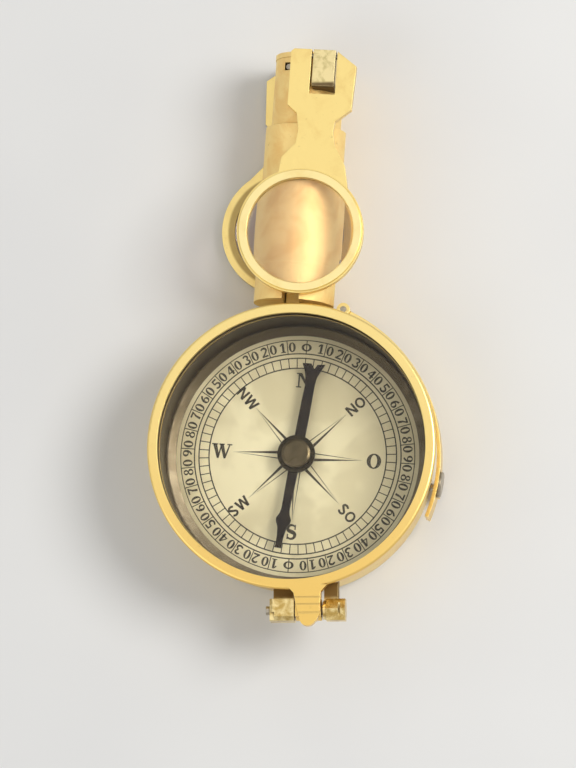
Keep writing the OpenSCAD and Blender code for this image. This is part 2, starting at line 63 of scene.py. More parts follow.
class Tree:
    """A node tree that is filled by short calls. Most of them give back the new node's first output."""

    def __init__(self, tree):
        self.tree = tree
        self.links = tree.links

    def node(self, kind, values=None, **settings):
        made = self.tree.nodes.new(kind)
        for name, value in settings.items():
            setattr(made, name, value)
        for key, value in (values or {}).items():
            self.feed(made.inputs[key], value)
        return made

    def feed(self, socket, value):
        if isinstance(value, bpy.types.NodeSocket):
            self.links.new(value, socket)
        elif isinstance(value, tuple) and socket.type == "RGBA" and len(value) == 3:
            socket.default_value = (*value, 1.0)
        else:
            socket.default_value = value

    def math(self, operation, a, b=0.0, clamp=False):
        made = self.node("ShaderNodeMath", {0: a, 1: b}, operation=operation, use_clamp=clamp)
        return made.outputs[0]

    def scaled(self, vector, factors):
        made = self.node("ShaderNodeVectorMath", {0: vector, 1: factors}, operation="MULTIPLY")
        return made.outputs[0]

    def length(self, vector):
        return self.node("ShaderNodeVectorMath", {0: vector}, operation="LENGTH").outputs["Value"]

    def split(self, vector):
        return self.node("ShaderNodeSeparateXYZ", {0: vector}).outputs

    def ramp(self, value, low, high, to_low=0.0, to_high=1.0):
        """Carries low to high softly to to_low and to_high, and holds the ends beyond."""
        values = {
            "Value": value,
            "From Min": low,
            "From Max": high,
            "To Min": to_low,
            "To Max": to_high,
        }
        made = self.node("ShaderNodeMapRange", values, interpolation_type="SMOOTHSTEP")
        return made.outputs[0]

    def blend(self, share, a, b):
        """Colour a, going over to colour b as the share goes from 0 to 1."""
        made = self.tree.nodes.new("ShaderNodeMix")
        made.data_type = "RGBA"
        made.clamp_factor = True
        self.feed(made.inputs[MIX_SHARE], share)
        self.feed(made.inputs[MIX_FIRST], a)
        self.feed(made.inputs[MIX_SECOND], b)
        return made.outputs[MIX_RESULT]

    def noise(self, vector, scale, detail, rough, warp=0.0):
        values = {
            "Vector": vector,
            "Scale": scale,
            "Detail": detail,
            "Roughness": rough,
            "Distortion": warp,
        }
        return self.node("ShaderNodeTexNoise", values).outputs[0]

    def rounded(self, radius):
        """Normal that turns softly over an edge, as on a part with rounded edges."""
        values = {"Radius": radius}
        return self.node("ShaderNodeBevel", values, samples=BEVEL_SAMPLES).outputs[0]

    def place_mm(self):
        """Place on the part in millimetres."""
        place = self.node("ShaderNodeTexCoord").outputs["Object"]
        return self.scaled(place, (1 / MM, 1 / MM, 1 / MM))

    def from_middle(self, place):
        """Distance from the upright line through the middle of the case."""
        return self.length(self.scaled(place, (1.0, 1.0, 0.0)))


def group(name, inputs, outputs):
    """An empty node group: inputs holds each value's default, outputs holds names.

    Gives back the tree, the values given to the group and the sockets of its results.
    """
    tree = bpy.data.node_groups.new(name, "ShaderNodeTree")
    for key, default in inputs.items():
        socket = tree.interface.new_socket(name=key, in_out="INPUT", socket_type="NodeSocketFloat")
        socket.default_value = default
    for key in outputs:
        tree.interface.new_socket(name=key, in_out="OUTPUT", socket_type="NodeSocketFloat")
    made = Tree(tree)
    return made, made.node("NodeGroupInput").outputs, made.node("NodeGroupOutput").inputs


CLOUD_BLUR = 0.14


def make_patina():
    """Cloudy tarnish, fine grain and hair scratches, the same on every metal."""
    defaults = {"Cloud Size": 6.0, "Cloud Share": 0.5}
    t, given, out = group("patina", defaults, ["Cloud", "Fleck", "Scratch", "Grain"])
    place = t.place_mm()
    cloud = t.noise(place, t.math("DIVIDE", 1.0, given["Cloud Size"]), 4.0, 0.6, 0.6)
    edge = t.math("SUBTRACT", 1.0, given["Cloud Share"])
    low = t.math("SUBTRACT", edge, CLOUD_BLUR)
    high = t.math("ADD", edge, CLOUD_BLUR)
    t.feed(out["Cloud"], t.ramp(cloud, low, high))
    fleck = t.noise(place, 1.1, 6.0, 0.75)
    t.feed(out["Fleck"], t.ramp(fleck, 0.6, 0.72))
    first = t.noise(t.scaled(place, (0.35, 9.0, 3.0)), 1.0, 2.0, 0.4, 0.3)
    second = t.noise(t.scaled(place, (8.0, 0.5, 3.0)), 1.0, 2.0, 0.4, 0.3)
    hairs = t.math("ADD", t.ramp(first, 0.66, 0.73), t.ramp(second, 0.67, 0.74), clamp=True)
    t.feed(out["Scratch"], hairs)
    t.feed(out["Grain"], t.noise(place, 9.0, 3.0, 0.6))
    return t.tree


def make_edges():
    """Rubbed edges, and a corner mask of dirt with painted shade where corners are hidden."""
    t, given, out = group("edges", {"Edge Width": 0.12, "Corner Reach": 0.5}, ["Rubbed", "Corner"])
    rounded = t.rounded(t.math("MULTIPLY", given["Edge Width"], MM))
    plain = t.node("ShaderNodeNewGeometry").outputs["Normal"]
    both = {0: rounded, 1: plain}
    match = t.node("ShaderNodeVectorMath", both, operation="DOT_PRODUCT").outputs["Value"]
    t.feed(out["Rubbed"], t.ramp(match, 0.995, 0.9))
    # Painted shade: ambient occlusion darkens hidden corners, and stands for the dirt there too
    reach = {"Distance": t.math("MULTIPLY", given["Corner Reach"], MM)}
    shade = t.node("ShaderNodeAmbientOcclusion", reach, samples=CORNER_SAMPLES).outputs["AO"]
    t.feed(out["Corner"], t.ramp(shade, 0.85, 0.35))
    return t.tree


PATINA = make_patina()
EDGES = make_edges()


# Relief of a worked surface, and what wear, dirt and painted shade add to its tone and its roughness
RELIEF_STRENGTH = 0.25
RELIEF_DEPTH = 0.012 * MM
EDGE_ROUND = 0.1
RUB_REACH = 1.6
CLOUD_IN_FALL = 0.45
FLECK_DIRT = 0.35
RING_SHADE = 0.8
RUBBED_GAIN = 1.12
RUBBED_LIFT = 0.03
GRAIN_SHEEN = 0.16
DIRT_AND_SHADE_SHEEN = 0.3
SCRATCH_SHEEN = 0.08


def new_material(name):
    made = bpy.data.materials.new(name)
    made.use_nodes = True
    made.node_tree.nodes.clear()
    t = Tree(made.node_tree)
    return made, t, t.node("ShaderNodeOutputMaterial")


def from_group(t, tree, **values):
    made = t.node("ShaderNodeGroup", node_tree=tree)
    for key, value in values.items():
        t.feed(made.inputs[key.replace("_", " ")], value)
    return made.outputs


def covered(t, output, values):
    """Gives a material its surface: one shader with these values."""
    shader = t.node("ShaderNodeBsdfPrincipled", values)
    t.links.new(shader.outputs[0], output.inputs["Surface"])


def worked(t, relief):
    """Normal of a worked surface: a shallow relief and softly rounded edges."""
    values = {
        "Strength": RELIEF_STRENGTH,
        "Distance": RELIEF_DEPTH,
        "Height": relief,
        "Normal": t.rounded(EDGE_ROUND * MM),
    }
    return t.node("ShaderNodeBump", values).outputs[0]


def metal(name, bright, deep, grime_and_shade, rough, cloud, share=0.5, dirt=0.6, rub=0.5,
          fall=None, darker_along_y=None, ring_shade=None):
    """A handled metal: two tones in clouds, dirt and painted shade in the corners, rubbed edges, grain
    and scratches.

    cloud, share: size of the clouds in millimetres, and how much of the surface they take.
    fall: from where to where along Y the bright tone gives way to the deep one, as painted light giving
    way to painted shade.
    darker_along_y: from where to where along Y the surface goes over to the dark tone.
    ring_shade: X and Y of a middle, the radius where painted shade begins and the one within which it is
    full.
    """
    made, t, output = new_material(name)
    patina = from_group(t, PATINA, Cloud_Size=cloud, Cloud_Share=share)
    edges = from_group(t, EDGES, Edge_Width=EDGE_ROUND * RUB_REACH)
    tone = patina["Cloud"]
    spot = t.split(t.place_mm())
    if fall:
        clouded = t.math("MULTIPLY", tone, CLOUD_IN_FALL)
        tone = t.math("ADD", clouded, t.ramp(spot["Y"], *fall), clamp=True)
    colour = t.blend(tone, bright, deep)
    # Painted shade in the corners, together with real dirt flecks, darkens the colour
    dirty = t.math("MAXIMUM", edges["Corner"], t.math("MULTIPLY", patina["Fleck"], FLECK_DIRT))
    if darker_along_y:
        dirty = t.math("MAXIMUM", dirty, t.ramp(spot["Y"], *darker_along_y))
    if ring_shade:
        x, y, unshaded, full = ring_shade
        off = {0: t.math("SUBTRACT", spot["X"], x), 1: t.math("SUBTRACT", spot["Y"], y)}
        reach = t.length(t.node("ShaderNodeCombineXYZ", off).outputs[0])
        dirty = t.math("MAXIMUM", dirty, t.ramp(reach, unshaded, full, 0.0, RING_SHADE))
    dirty = t.math("MULTIPLY", dirty, dirt)
    colour = t.blend(dirty, colour, grime_and_shade)
    lighter = tuple(min(1.0, c * RUBBED_GAIN + RUBBED_LIFT) for c in bright)
    colour = t.blend(t.math("MULTIPLY", edges["Rubbed"], rub), colour, lighter)
    sheen = t.math("MULTIPLY", patina["Grain"], GRAIN_SHEEN)
    sheen = t.math("ADD", sheen, t.math("MULTIPLY", dirty, DIRT_AND_SHADE_SHEEN))
    sheen = t.math("ADD", sheen, t.math("MULTIPLY", patina["Scratch"], SCRATCH_SHEEN))
    relief = t.math("SUBTRACT", t.math("MULTIPLY", patina["Grain"], 0.5), patina["Scratch"])
    covered(t, output, {
        "Base Color": colour,
        "Metallic": 1.0,
        "Roughness": t.math("ADD", sheen, rough - GRAIN_SHEEN / 2),
        "Normal": worked(t, relief),
    })
    return made


PALE = (0.92, 0.715, 0.28)
GOLD = (0.86, 0.57, 0.16)
UMBER = (0.20, 0.12, 0.04)
ARM_TONES = ((0.90, 0.70, 0.27), (0.82, 0.60, 0.22), (0.26, 0.18, 0.07))
ARM_SURFACE = {"rough": 0.36, "cloud": 5.0, "share": 0.4, "dirt": 0.85}

# Painted light and reflection: paler towards the north end, more golden towards the south
brass = metal("lacquered_brass", PALE, GOLD, UMBER, rough=0.3, cloud=7.0, share=0.3,
              fall=(16.0, -30.0))
brass_arm = metal("arm_brass", *ARM_TONES, **ARM_SURFACE)
brass_rim = metal("rim_brass", (0.94, 0.78, 0.37), (0.88, 0.69, 0.29), (0.30, 0.21, 0.09),
                  rough=0.36, cloud=4.0, share=0.35)
# Painted shade: the back ring darkens within 9.45 mm of its lens middle, where the front ring shades it
brass_back = metal("back_arm_brass", *ARM_TONES, **ARM_SURFACE, ring_shade=(-2.15, 36.67, 9.45, 9.0))
brass_tube = metal("tube_brass", (0.96, 0.76, 0.35), (0.90, 0.64, 0.26), UMBER,
                   rough=0.68, cloud=5.0, share=0.45)
# Painted shade: from Y -24.4 to -23.2 northwards the lug necks under the bezel, and all beyond, go dark
brass_lug = metal("cast_brass", (0.92, 0.74, 0.36), (0.55, 0.37, 0.11), UMBER,
                  rough=0.28, cloud=1.6, dirt=1.0, darker_along_y=(-24.4, -23.2))
# Darker below Y 57.5, with a dark deep tone
brass_end_block = metal("end_block_brass", (0.84, 0.70, 0.36), (0.52, 0.43, 0.19), (0.10, 0.06, 0.03),
                   rough=0.36, cloud=1.8, share=0.45, dirt=0.9, darker_along_y=(58.0, 57.5))
# Painted shade with age: dark brass for the parts that lie in shade inside the case
brass_dark = metal("aged_and_shaded_brass", (0.32, 0.25, 0.15), (0.21, 0.16, 0.09), (0.06, 0.045, 0.025),
                   rough=0.5, cloud=4.0)
# Painted shade: the dial's sloping ring is dark under the bezel, darkest towards the north
brass_slope = metal("shaded_slope_brass", (0.27, 0.22, 0.15), (0.085, 0.064, 0.037), (0.05, 0.038, 0.022),
                    rough=0.52, cloud=4.0, fall=(-12.0, 19.0))
steel = metal("pin_steel", (0.50, 0.46, 0.38), (0.30, 0.25, 0.18), (0.10, 0.075, 0.05),
              rough=0.3, cloud=1.2)
blued = metal("blued_steel", (0.042, 0.033, 0.026), (0.026, 0.021, 0.02), (0.016, 0.013, 0.01),
              rough=0.36, cloud=2.0, rub=0.2)
bronze = metal("cap_bronze", (0.13, 0.10, 0.06), (0.085, 0.065, 0.036), (0.03, 0.024, 0.016),
               rough=0.3, cloud=1.4)
washer = metal("washer_bronze", (0.05, 0.04, 0.026), (0.03, 0.024, 0.016), (0.015, 0.012, 0.008),
               rough=0.32, cloud=1.4)

# Where the case's wall under the glass begins: radius beyond the dial's, and height of the floor
WALL_BEYOND_DIAL = 1.62
CASE_FLOOR = 0.9


def case_finish():
    """Brass outside, and a deep brown on the wall under the glass that is tarnish and painted shade."""
    made, t, output = new_material("case_brass")
    patina = from_group(t, PATINA, Cloud_Size=5.0, Cloud_Share=0.45)
    edges = from_group(t, EDGES)
    place = t.place_mm()
    within = t.math("LESS_THAN", t.from_middle(place), DIAL_R / MM + WALL_BEYOND_DIAL)
    above = t.math("GREATER_THAN", t.split(place)["Z"], CASE_FLOOR)
    inside = t.math("MULTIPLY", within, above)
    outer = t.blend(patina["Cloud"], PALE, (0.86, 0.60, 0.24))
    # Painted shade with tarnish: the wall under the glass is dark brown
    inner = t.blend(patina["Cloud"], (0.075, 0.052, 0.027), (0.04, 0.027, 0.014))
    colour = t.blend(inside, outer, inner)
    # Painted shade, with dirt, darkens the corners
    colour = t.blend(t.math("MULTIPLY", edges["Corner"], 0.6), colour, (0.10, 0.07, 0.035))
    grain = t.math("MULTIPLY", patina["Grain"], 0.2)
    sheen = t.math("ADD", grain, t.math("MULTIPLY", inside, 0.15))
    relief = t.math("SUBTRACT", patina["Grain"], patina["Scratch"])
    relief = t.math("MULTIPLY", relief, t.ramp(inside, 0.0, 1.0, 1.0, 0.12))
    covered(t, output, {
        "Base Color": colour,
        "Metallic": 1.0,
        "Roughness": t.math("ADD", sheen, 0.2),
        "Normal": worked(t, relief),
    })
    return made


BRUSH_LINES = 14.0


def dial_finish():
    """Silvered dial: satin cream with soft clouds, foxed spots, a faint circular brushing and a painted
    shadow of the case wall towards the upper right.
    """
    made, t, output = new_material("silvered_dial")
    place = t.place_mm()
    cloud = t.ramp(t.noise(place, 0.11, 3.0, 0.55, 0.4), 0.38, 0.62)
    spots = t.ramp(t.noise(place, 0.9, 6.0, 0.7), 0.66, 0.76)
    radius = t.from_middle(place)
    outwards = {0: t.math("MULTIPLY", radius, BRUSH_LINES)}
    rings = t.noise(t.node("ShaderNodeCombineXYZ", outwards).outputs[0], 1.0, 2.0, 0.6)
    ground = t.blend(cloud, (0.90, 0.81, 0.55), (0.74, 0.65, 0.42))
    ground = t.blend(t.ramp(radius, 15.0, 19.4, 0.0, 0.35), ground, (0.56, 0.48, 0.30))
    ground = t.blend(t.math("MULTIPLY", spots, 0.35), ground, (0.45, 0.37, 0.2))
    spot = t.split(place)
    # Painted shadow of the case wall, darkest towards the upper right
    into_wall_shadow = t.math("ADD", t.math("MULTIPLY", spot["X"], 0.55), t.math("MULTIPLY", spot["Y"], 0.83))
    ground = t.blend(t.ramp(into_wall_shadow, -2.0, 17.0, 0.0, 0.42), ground, (0.46, 0.38, 0.23))
    brushed = {"Strength": 0.12, "Distance": 0.01 * MM, "Height": rings}
    covered(t, output, {
        "Base Color": ground,
        "Metallic": 0.35,
        "Roughness": t.ramp(rings, 0.3, 0.7, 0.38, 0.5),
        "Normal": t.node("ShaderNodeBump", brushed).outputs[0],
    })
    return made


def glass_finish(name, tint, ior, smear):
    """Clear glass with a faint smear. Lamps shine through it."""
    made, t, output = new_material(name)
    smears = t.ramp(t.noise(t.place_mm(), smear, 4.0, 0.6), 0.45, 0.8, 0.0, 0.03)
    values = {"Base Color": tint, "Roughness": smears, "IOR": ior, "Transmission Weight": 1.0}
    shader = t.node("ShaderNodeBsdfPrincipled", values)
    clear = t.node("ShaderNodeBsdfTransparent", {"Color": tint})
    path = t.node("ShaderNodeLightPath").outputs
    through = t.math("MAXIMUM", path["Is Shadow Ray"], path["Is Diffuse Ray"])
    both = t.node("ShaderNodeMixShader", {0: through, 1: shader.outputs[0], 2: clear.outputs[0]})
    t.links.new(both.outputs[0], output.inputs["Surface"])
    return made


def ink_finish():
    """Printer's black, browned where it has worn thin."""
    made, t, output = new_material("dial_ink")
    wear = t.ramp(t.noise(t.place_mm(), 1.7, 5.0, 0.7), 0.42, 0.7)
    colour = t.blend(wear, (0.035, 0.026, 0.015), (0.11, 0.085, 0.05))
    covered(t, output, {"Base Color": colour, "Roughness": t.ramp(wear, 0.0, 1.0, 0.45, 0.7)})
    return made


case_brass = case_finish()
silvered = dial_finish()
cover_glass = glass_finish("cover_glass", (0.98, 0.98, 0.95), 1.22, 0.15)
lens_glass = glass_finish("lens_glass", (0.86, 0.82, 0.82), 1.5, 0.3)
ink = ink_finish()

FINISHES = {
    case_brass: ["case_shell"],
    brass: ["bezel", "arrest_strip", "strip_bracket", "north_lug"],
    brass_tube: ["fork_plug", "column_sleeve", "draw_tube", "end_cap"],
    brass_arm: ["front_arm"],
    brass_rim: ["front_keeper", "back_keeper"],
    brass_back: ["back_arm"],
    brass_end_block: ["end_block"],
    brass_lug: ["lug_left", "lug_right", "lifter_arm", "lifter_sleeve"],
    brass_slope: ["dial_ring"],
    brass_dark: ["dial_seat", "glass_keeper", "arm_guide", "pivot_post", "guide_ring"],
    steel: ["bezel_pin", "strip_pin", "pivot_point", "arrest_knob", "push_pin", "column_pin",
            "sleeve_screws", "set_screw"],
    silvered: ["dial"],
    bronze: ["needle_cap"],
    washer: ["needle_hub"],
    cover_glass: ["glass"],
    lens_glass: ["front_lens", "back_lens"],
}
for finish, names in FINISHES.items():
    for part in names:
        mesh = NODES[part].data
        mesh.materials.clear()
        mesh.materials.append(finish)


# Making of meshes

def wall(mesh, lower, upper):
    """Quads between two rings of corners."""
    for k in range(len(lower)):
        n = (k + 1) % len(lower)
        mesh.faces.new((lower[k], lower[n], upper[n], upper[k]))


def finished(name, mesh, finish):
    """Mesh data of one finish, its faces turned outwards."""
    bmesh.ops.recalc_face_normals(mesh, faces=mesh.faces)
    data = bpy.data.meshes.new(name)
    mesh.to_mesh(data)
    mesh.free()
    data.materials.append(finish)
    return data


def shown(name, data):
    made = bpy.data.objects.new(name, data)
    bpy.context.scene.collection.objects.link(made)
    return made


def placed(name, data, body, stands_for=()):
    piece = shown(name, data)
    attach(piece, body)
    if stands_for:
        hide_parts(*stands_for)


def turned(points, angle):
    c, s = math.cos(angle), math.sin(angle)
    return [(x * c - y * s, x * s + y * c) for x, y in points]


def at_clock(clock, radius):
    """Point on a circle at a clock angle from north, in degrees."""
    a = math.radians(90 - clock)
    return radius * math.cos(a), radius * math.sin(a)


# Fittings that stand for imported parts, so that they show as the real ones do. Sizes in millimetres

def skin(name, rings, finish, body, stands_for=()):
    """A closed solid through rings of points, each ring with as many points as the next."""
    mesh = bmesh.new()
    made = [[mesh.verts.new(Vector(p) * MM) for p in ring] for ring in rings]
    for lower, upper in zip(made, made[1:]):
        wall(mesh, lower, upper)
    mesh.faces.new(made[0][::-1])
    mesh.faces.new(made[-1])
    placed(name, finished(name, mesh, finish), body, stands_for)


NEEDLE_TURN = math.radians(-11.1)
NEEDLE_LOW, NEEDLE_HIGH = (corner.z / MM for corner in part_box("needle"))

# Outline of the needle from its forked north end down the right side, and back up the left
NEEDLE = [
    (0.2, 13.85), (0.55, 14.6), (1.75, 14.85), (1.35, 13.9), (0.85, 12.6), (0.74, 11.3),
    (0.84, 6.5), (0.84, 2.3), (2.1, 1.2), (2.1, -1.2), (0.78, -2.3), (0.66, -8.9),
    (0.8, -9.7), (1.2, -10.5), (1.15, -11.0), (0.72, -11.9), (0.52, -13.4), (0.5, -14.9),
    (0.6, -15.15), (-0.6, -15.15), (-0.5, -14.9), (-0.52, -13.4), (-0.72, -11.9), (-1.15, -11.0),
    (-1.2, -10.5), (-0.8, -9.7), (-0.66, -8.9), (-0.78, -2.3), (-2.1, -1.2), (-2.1, 1.2),
    (-0.84, 2.3), (-0.84, 6.5), (-0.78, 11.2), (-1.0, 12.5), (-1.3, 13.4), (-1.85, 14.5),
    (-0.45, 14.65),
]
skin("needle_blade",
     [[(x, y, up) for x, y in turned(NEEDLE, NEEDLE_TURN)] for up in (NEEDLE_LOW, NEEDLE_HIGH)],
     blued, "needle_group", ["needle"])

# The column's own frame: across it, along it from its hinge, and up. Its sleeve has a middle and a radius
HINGE = Vector((0.0, 27.3, 13.6))
LEAN = math.radians(4.0)
ACROSS = Vector((math.cos(LEAN), -math.sin(LEAN), 0.0))
ALONG = Vector((math.sin(LEAN), math.cos(LEAN), 0.0))
TUBE_Z = 8.8
TUBE_R = 6.35


def on_column(across, along, up):
    point = HINGE + ACROSS * across + ALONG * along
    return Vector((point.x, point.y, up))


# The pins of the arms: place along the column, radius, sides, and each end's steps in and radii
PIN_ALONG = 35.0
PIN_R = 0.4
PIN_SIDES = 24
PIN_END = ((0.0, 0.2), (0.05, 0.32), (0.15, PIN_R))


def arm_pin(name, first, last, node):
    """A small pin across the column in the place of a packed one, its ends filed round."""
    up = sum(corner.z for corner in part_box(node)) / 2 / MM
    stations = [(first + d, r) for d, r in PIN_END] + [(last - d, r) for d, r in PIN_END[::-1]]
    turns = [math.radians(360 / PIN_SIDES * k) for k in range(PIN_SIDES)]
    rings = [[on_column(across, PIN_ALONG + r * math.cos(a), up + r * math.sin(a)) for a in turns]
             for across, r in stations]
    skin(name, rings, steel, "draw", [node])


PIN_INNER, PIN_OUTER = 1.9, 5.4
arm_pin("front_arm_pin", -PIN_INNER, PIN_OUTER, "front_pin")
arm_pin("back_arm_pin", -PIN_OUTER, PIN_INNER, "back_pin")

# The skin over the fork's slot: angles across it, and how far it lies above and below the tube's radius
SLOT_TURNS = (-13, -9, -4.5, 0, 4.5, 9, 13)
SLOT_PROUD = 0.02
SLOT_DEEP = 0.25
SLOT_FROM, SLOT_TO = -1.15, 1.65


def slot_section(along):
    """Section of the skin that closes the fork over its hinge: a strip of the tube's own wall."""
    turns = [math.radians(a) for a in SLOT_TURNS]
    outer, inner = ([on_column(r * math.sin(a), along, TUBE_Z + r * math.cos(a)) for a in turns]
                    for r in (TUBE_R + SLOT_PROUD, TUBE_R - SLOT_DEEP))
    return outer + inner[::-1]


skin("fork_skin", [slot_section(SLOT_FROM), slot_section(SLOT_TO)], brass_tube, "column")


def reshaped(node, name, body, move):
    """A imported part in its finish, its points moved over the column by a rule.

    The rule takes a point as (across, along) and gives it back so.
    """
    data = NODES[node].data.copy()
    data.name = name
    for vertex in data.vertices:
        flat = Vector((vertex.co.x, vertex.co.y, 0.0)) / MM - Vector((HINGE.x, HINGE.y, 0.0))
        across, along = flat.dot(ACROSS), flat.dot(ALONG)
        vertex.co = on_column(*move(across, along), vertex.co.z / MM) * MM
    placed(name, data, body, [node])


def formed_arm(side, move):
    """A lens arm with its lens and the ring that keeps it, all moved by one rule."""
    for part, slot in (("arm", "brass"), ("keeper", "brass"), ("lens", "clear_glass")):
        reshaped(f"{side}_{part}", f"{side}_{part}_formed", f"{side}_lens_arm", move)


def eased(value, low, high):
    """0 up to low and 1 from high, with a soft step between."""
    share = min(1.0, max(0.0, (value - low) / (high - low)))
    return share * share * (3 - 2 * share)


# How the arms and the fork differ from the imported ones, in the column's own frame. A pair of numbers
# is the middle of a lens, or the two places between which a change sets in or fades out
BACK_LENS = (-2.9, 6.8)
BACK_LARGER = 0.025
BACK_ACROSS = 0.1
BACK_ALONG = 2.4
BACK_FADE = (17.0, 25.0)
HEAD_IN = 0.5
HEAD_ALONG = (23.0, 26.0)
HEAD_SIDE = (3.0, 7.0)
NECK_IN = 1.7
NECK_BEYOND_RING = (10.03, 10.8)
NECK_ALONG = (18.0, 24.0)
NECK_SIDE = (3.0, 6.0)
FRONT_LENS = (1.0, 6.8)
FRONT_OPEN_R = 8.0
FRONT_RING_R = 10.0
FRONT_WIDER = 0.35
FOOT_LONGER = 0.6
FOOT_FADE = (-3.0, -1.6)


def back_move(across, along):
    """A larger back lens, further up and nearer to the middle, and an outer edge further in."""
    x, u = across - BACK_LENS[0], along - BACK_LENS[1]
    down = 1 - eased(along, *BACK_FADE)
    inward = HEAD_IN * eased(along, *HEAD_ALONG) * eased(-across, *HEAD_SIDE)
    beyond = eased(math.hypot(x, u), *NECK_BEYOND_RING)
    inward += NECK_IN * beyond * eased(-across, *NECK_SIDE) * (1 - eased(along, *NECK_ALONG))
    larger = BACK_LARGER * down
    across += x * larger + BACK_ACROSS * down + inward
    along += u * larger + BACK_ALONG * down
    return across, along


def fork_move(across, along):
    """A longer foot of the fork, below its hinge."""
    return across, along - FOOT_LONGER * (1 - eased(along, *FOOT_FADE))


def front_move(across, along):
    """A wider opening of the front lens and a slimmer rim of the same outside."""
    x, u = across - FRONT_LENS[0], along - FRONT_LENS[1]
    inside = min(1.0, max(0.0, (FRONT_RING_R - math.hypot(x, u)) / (FRONT_RING_R - FRONT_OPEN_R)))
    wider = FRONT_WIDER * inside / FRONT_OPEN_R
    return across + x * wider, along + u * wider


formed_arm("back", back_move)
reshaped("fork_plug", "fork_formed", "column", fork_move)
formed_arm("front", front_move)


# The print on the dial: flat shapes in millimetres, turned with the dial and laid on its upper face

def arc(cx, cy, rx, ry, start, end, count=14):
    """Points on an ellipse from one angle to another, in degrees."""
    angles = [math.radians(start + (end - start) * k / (count - 1)) for k in range(count)]
    return [(cx + rx * math.cos(a), cy + ry * math.sin(a)) for a in angles]


def stroke(path, widths):
    """Outline of a pen stroke along a path. widths: one number, or those of start, middle and end."""
    if not isinstance(widths, tuple):
        widths = (widths, widths, widths)
    last = len(path) - 1
    left, right = [], []
    for k, (x, y) in enumerate(path):
        x0, y0 = path[max(k - 1, 0)]
        x1, y1 = path[min(k + 1, last)]
        length = math.hypot(x1 - x0, y1 - y0)
        share = k / last
        width = widths[0] + (widths[1] - widths[0]) * min(1, 2 * share)
        width += (widths[2] - widths[1]) * max(0, 2 * share - 1)
        dx, dy = (y0 - y1) / length * width / 2, (x1 - x0) / length * width / 2
        left.append((x + dx, y + dy))
        right.append((x - dx, y - dy))
    return [left + right[::-1]]


def bar(x0, y0, x1, y1):
    return [[(x0, y0), (x1, y0), (x1, y1), (x0, y1)]]


def oval(cx, cy, rx, ry, side, end):
    """A closed ring as its outer and inner outline. side and end are its widths across and up."""
    return [(arc(cx, cy, rx, ry, 0, 345, 24), arc(cx, cy, rx - side, ry - end, 0, 345, 24))]


# Numerals and letters on a height of 1, from pen strokes: the width that each takes, and its outlines.
# The letters of the four main points have serifs, and the plain ones between them have none
NUMERAL_W = 0.72
NUMERALS = {
    "0": oval(0.36, 0.5, 0.36, 0.5, 0.23, 0.1),
    "1": bar(0.27, 0.0, 0.5, 1.0) + stroke([(0.08, 0.72), (0.3, 0.93)], 0.13)
    + bar(0.12, 0.0, 0.65, 0.1),
    "2": stroke(arc(0.36, 0.72, 0.26, 0.21, 170, -20) + [(0.42, 0.38), (0.14, 0.1)], (0.14, 0.23, 0.14))
    + bar(0.06, 0.0, 0.7, 0.17),
    "3": stroke(arc(0.34, 0.75, 0.23, 0.19, 160, -80), (0.14, 0.21, 0.12))
    + stroke(arc(0.33, 0.28, 0.28, 0.22, 85, -160), (0.12, 0.23, 0.16)),
    "4": stroke([(0.46, 0.96), (0.08, 0.36)], 0.11) + bar(0.02, 0.24, 0.7, 0.36)
    + bar(0.38, 0.0, 0.6, 0.97),
    "5": bar(0.14, 0.83, 0.66, 1.0) + stroke([(0.2, 0.94), (0.17, 0.54)], 0.14)
    + stroke(arc(0.32, 0.3, 0.29, 0.25, 125, -155), (0.12, 0.23, 0.16)),
    "6": oval(0.36, 0.3, 0.34, 0.3, 0.21, 0.1)
    + stroke(arc(0.68, 0.36, 0.57, 0.57, 110, 178), (0.18, 0.18, 0.2)),
    "7": bar(0.05, 0.83, 0.68, 1.0) + stroke([(0.6, 0.9), (0.38, 0.5), (0.3, 0.0)], (0.12, 0.19, 0.24)),
    "8": oval(0.36, 0.75, 0.28, 0.25, 0.17, 0.09) + oval(0.36, 0.27, 0.34, 0.27, 0.2, 0.09),
    "9": oval(0.36, 0.7, 0.34, 0.3, 0.21, 0.1)
    + stroke(arc(0.04, 0.64, 0.57, 0.57, -70, -2), (0.18, 0.18, 0.2)),
}
NUMERALS = {digit: (NUMERAL_W, outlines) for digit, outlines in NUMERALS.items()}
ZERO_MARK = {"0": (1.06, oval(0.53, 0.46, 0.53, 0.4, 0.26, 0.13))}
LETTERS = {
    "N": (1.02, bar(0.13, 0.05, 0.23, 0.95) + bar(0.81, 0.05, 0.91, 1.0) + bar(0.0, 0.0, 0.36, 0.08)
          + bar(0.68, 0.92, 1.04, 1.0) + bar(0.0, 0.92, 0.2, 1.0)
          + [[(0.1, 1.0), (0.36, 1.0), (0.91, 0.0), (0.76, 0.0)]]),
    "W": (1.36, bar(0.0, 0.92, 0.42, 1.0) + bar(0.5, 0.92, 0.86, 1.0) + bar(1.04, 0.92, 1.38, 1.0)
          + [[(0.07, 0.97), (0.34, 0.97), (0.54, 0.2), (0.49, 0.0), (0.4, 0.0)],
             [(0.62, 0.97), (0.71, 0.97), (0.52, 0.0), (0.43, 0.08)],
             [(0.54, 0.97), (0.8, 0.97), (1.0, 0.2), (0.95, 0.0), (0.86, 0.0)],
             [(1.17, 0.97), (1.27, 0.97), (0.98, 0.0), (0.89, 0.08)]]),
    "O": (0.98, oval(0.49, 0.5, 0.49, 0.52, 0.27, 0.09)),
    "S": (0.66, stroke(arc(0.33, 0.74, 0.25, 0.23, 35, 180, 10)
                       + arc(0.36, 0.7, 0.28, 0.17, 180, 250, 5)
                       + arc(0.3, 0.3, 0.28, 0.2, 70, 0, 5)
                       + arc(0.32, 0.27, 0.26, 0.24, 0, -145, 10),
                       (0.1, 0.27, 0.1))
          + bar(0.53, 0.66, 0.61, 1.0) + bar(0.04, 0.0, 0.12, 0.36)),
}
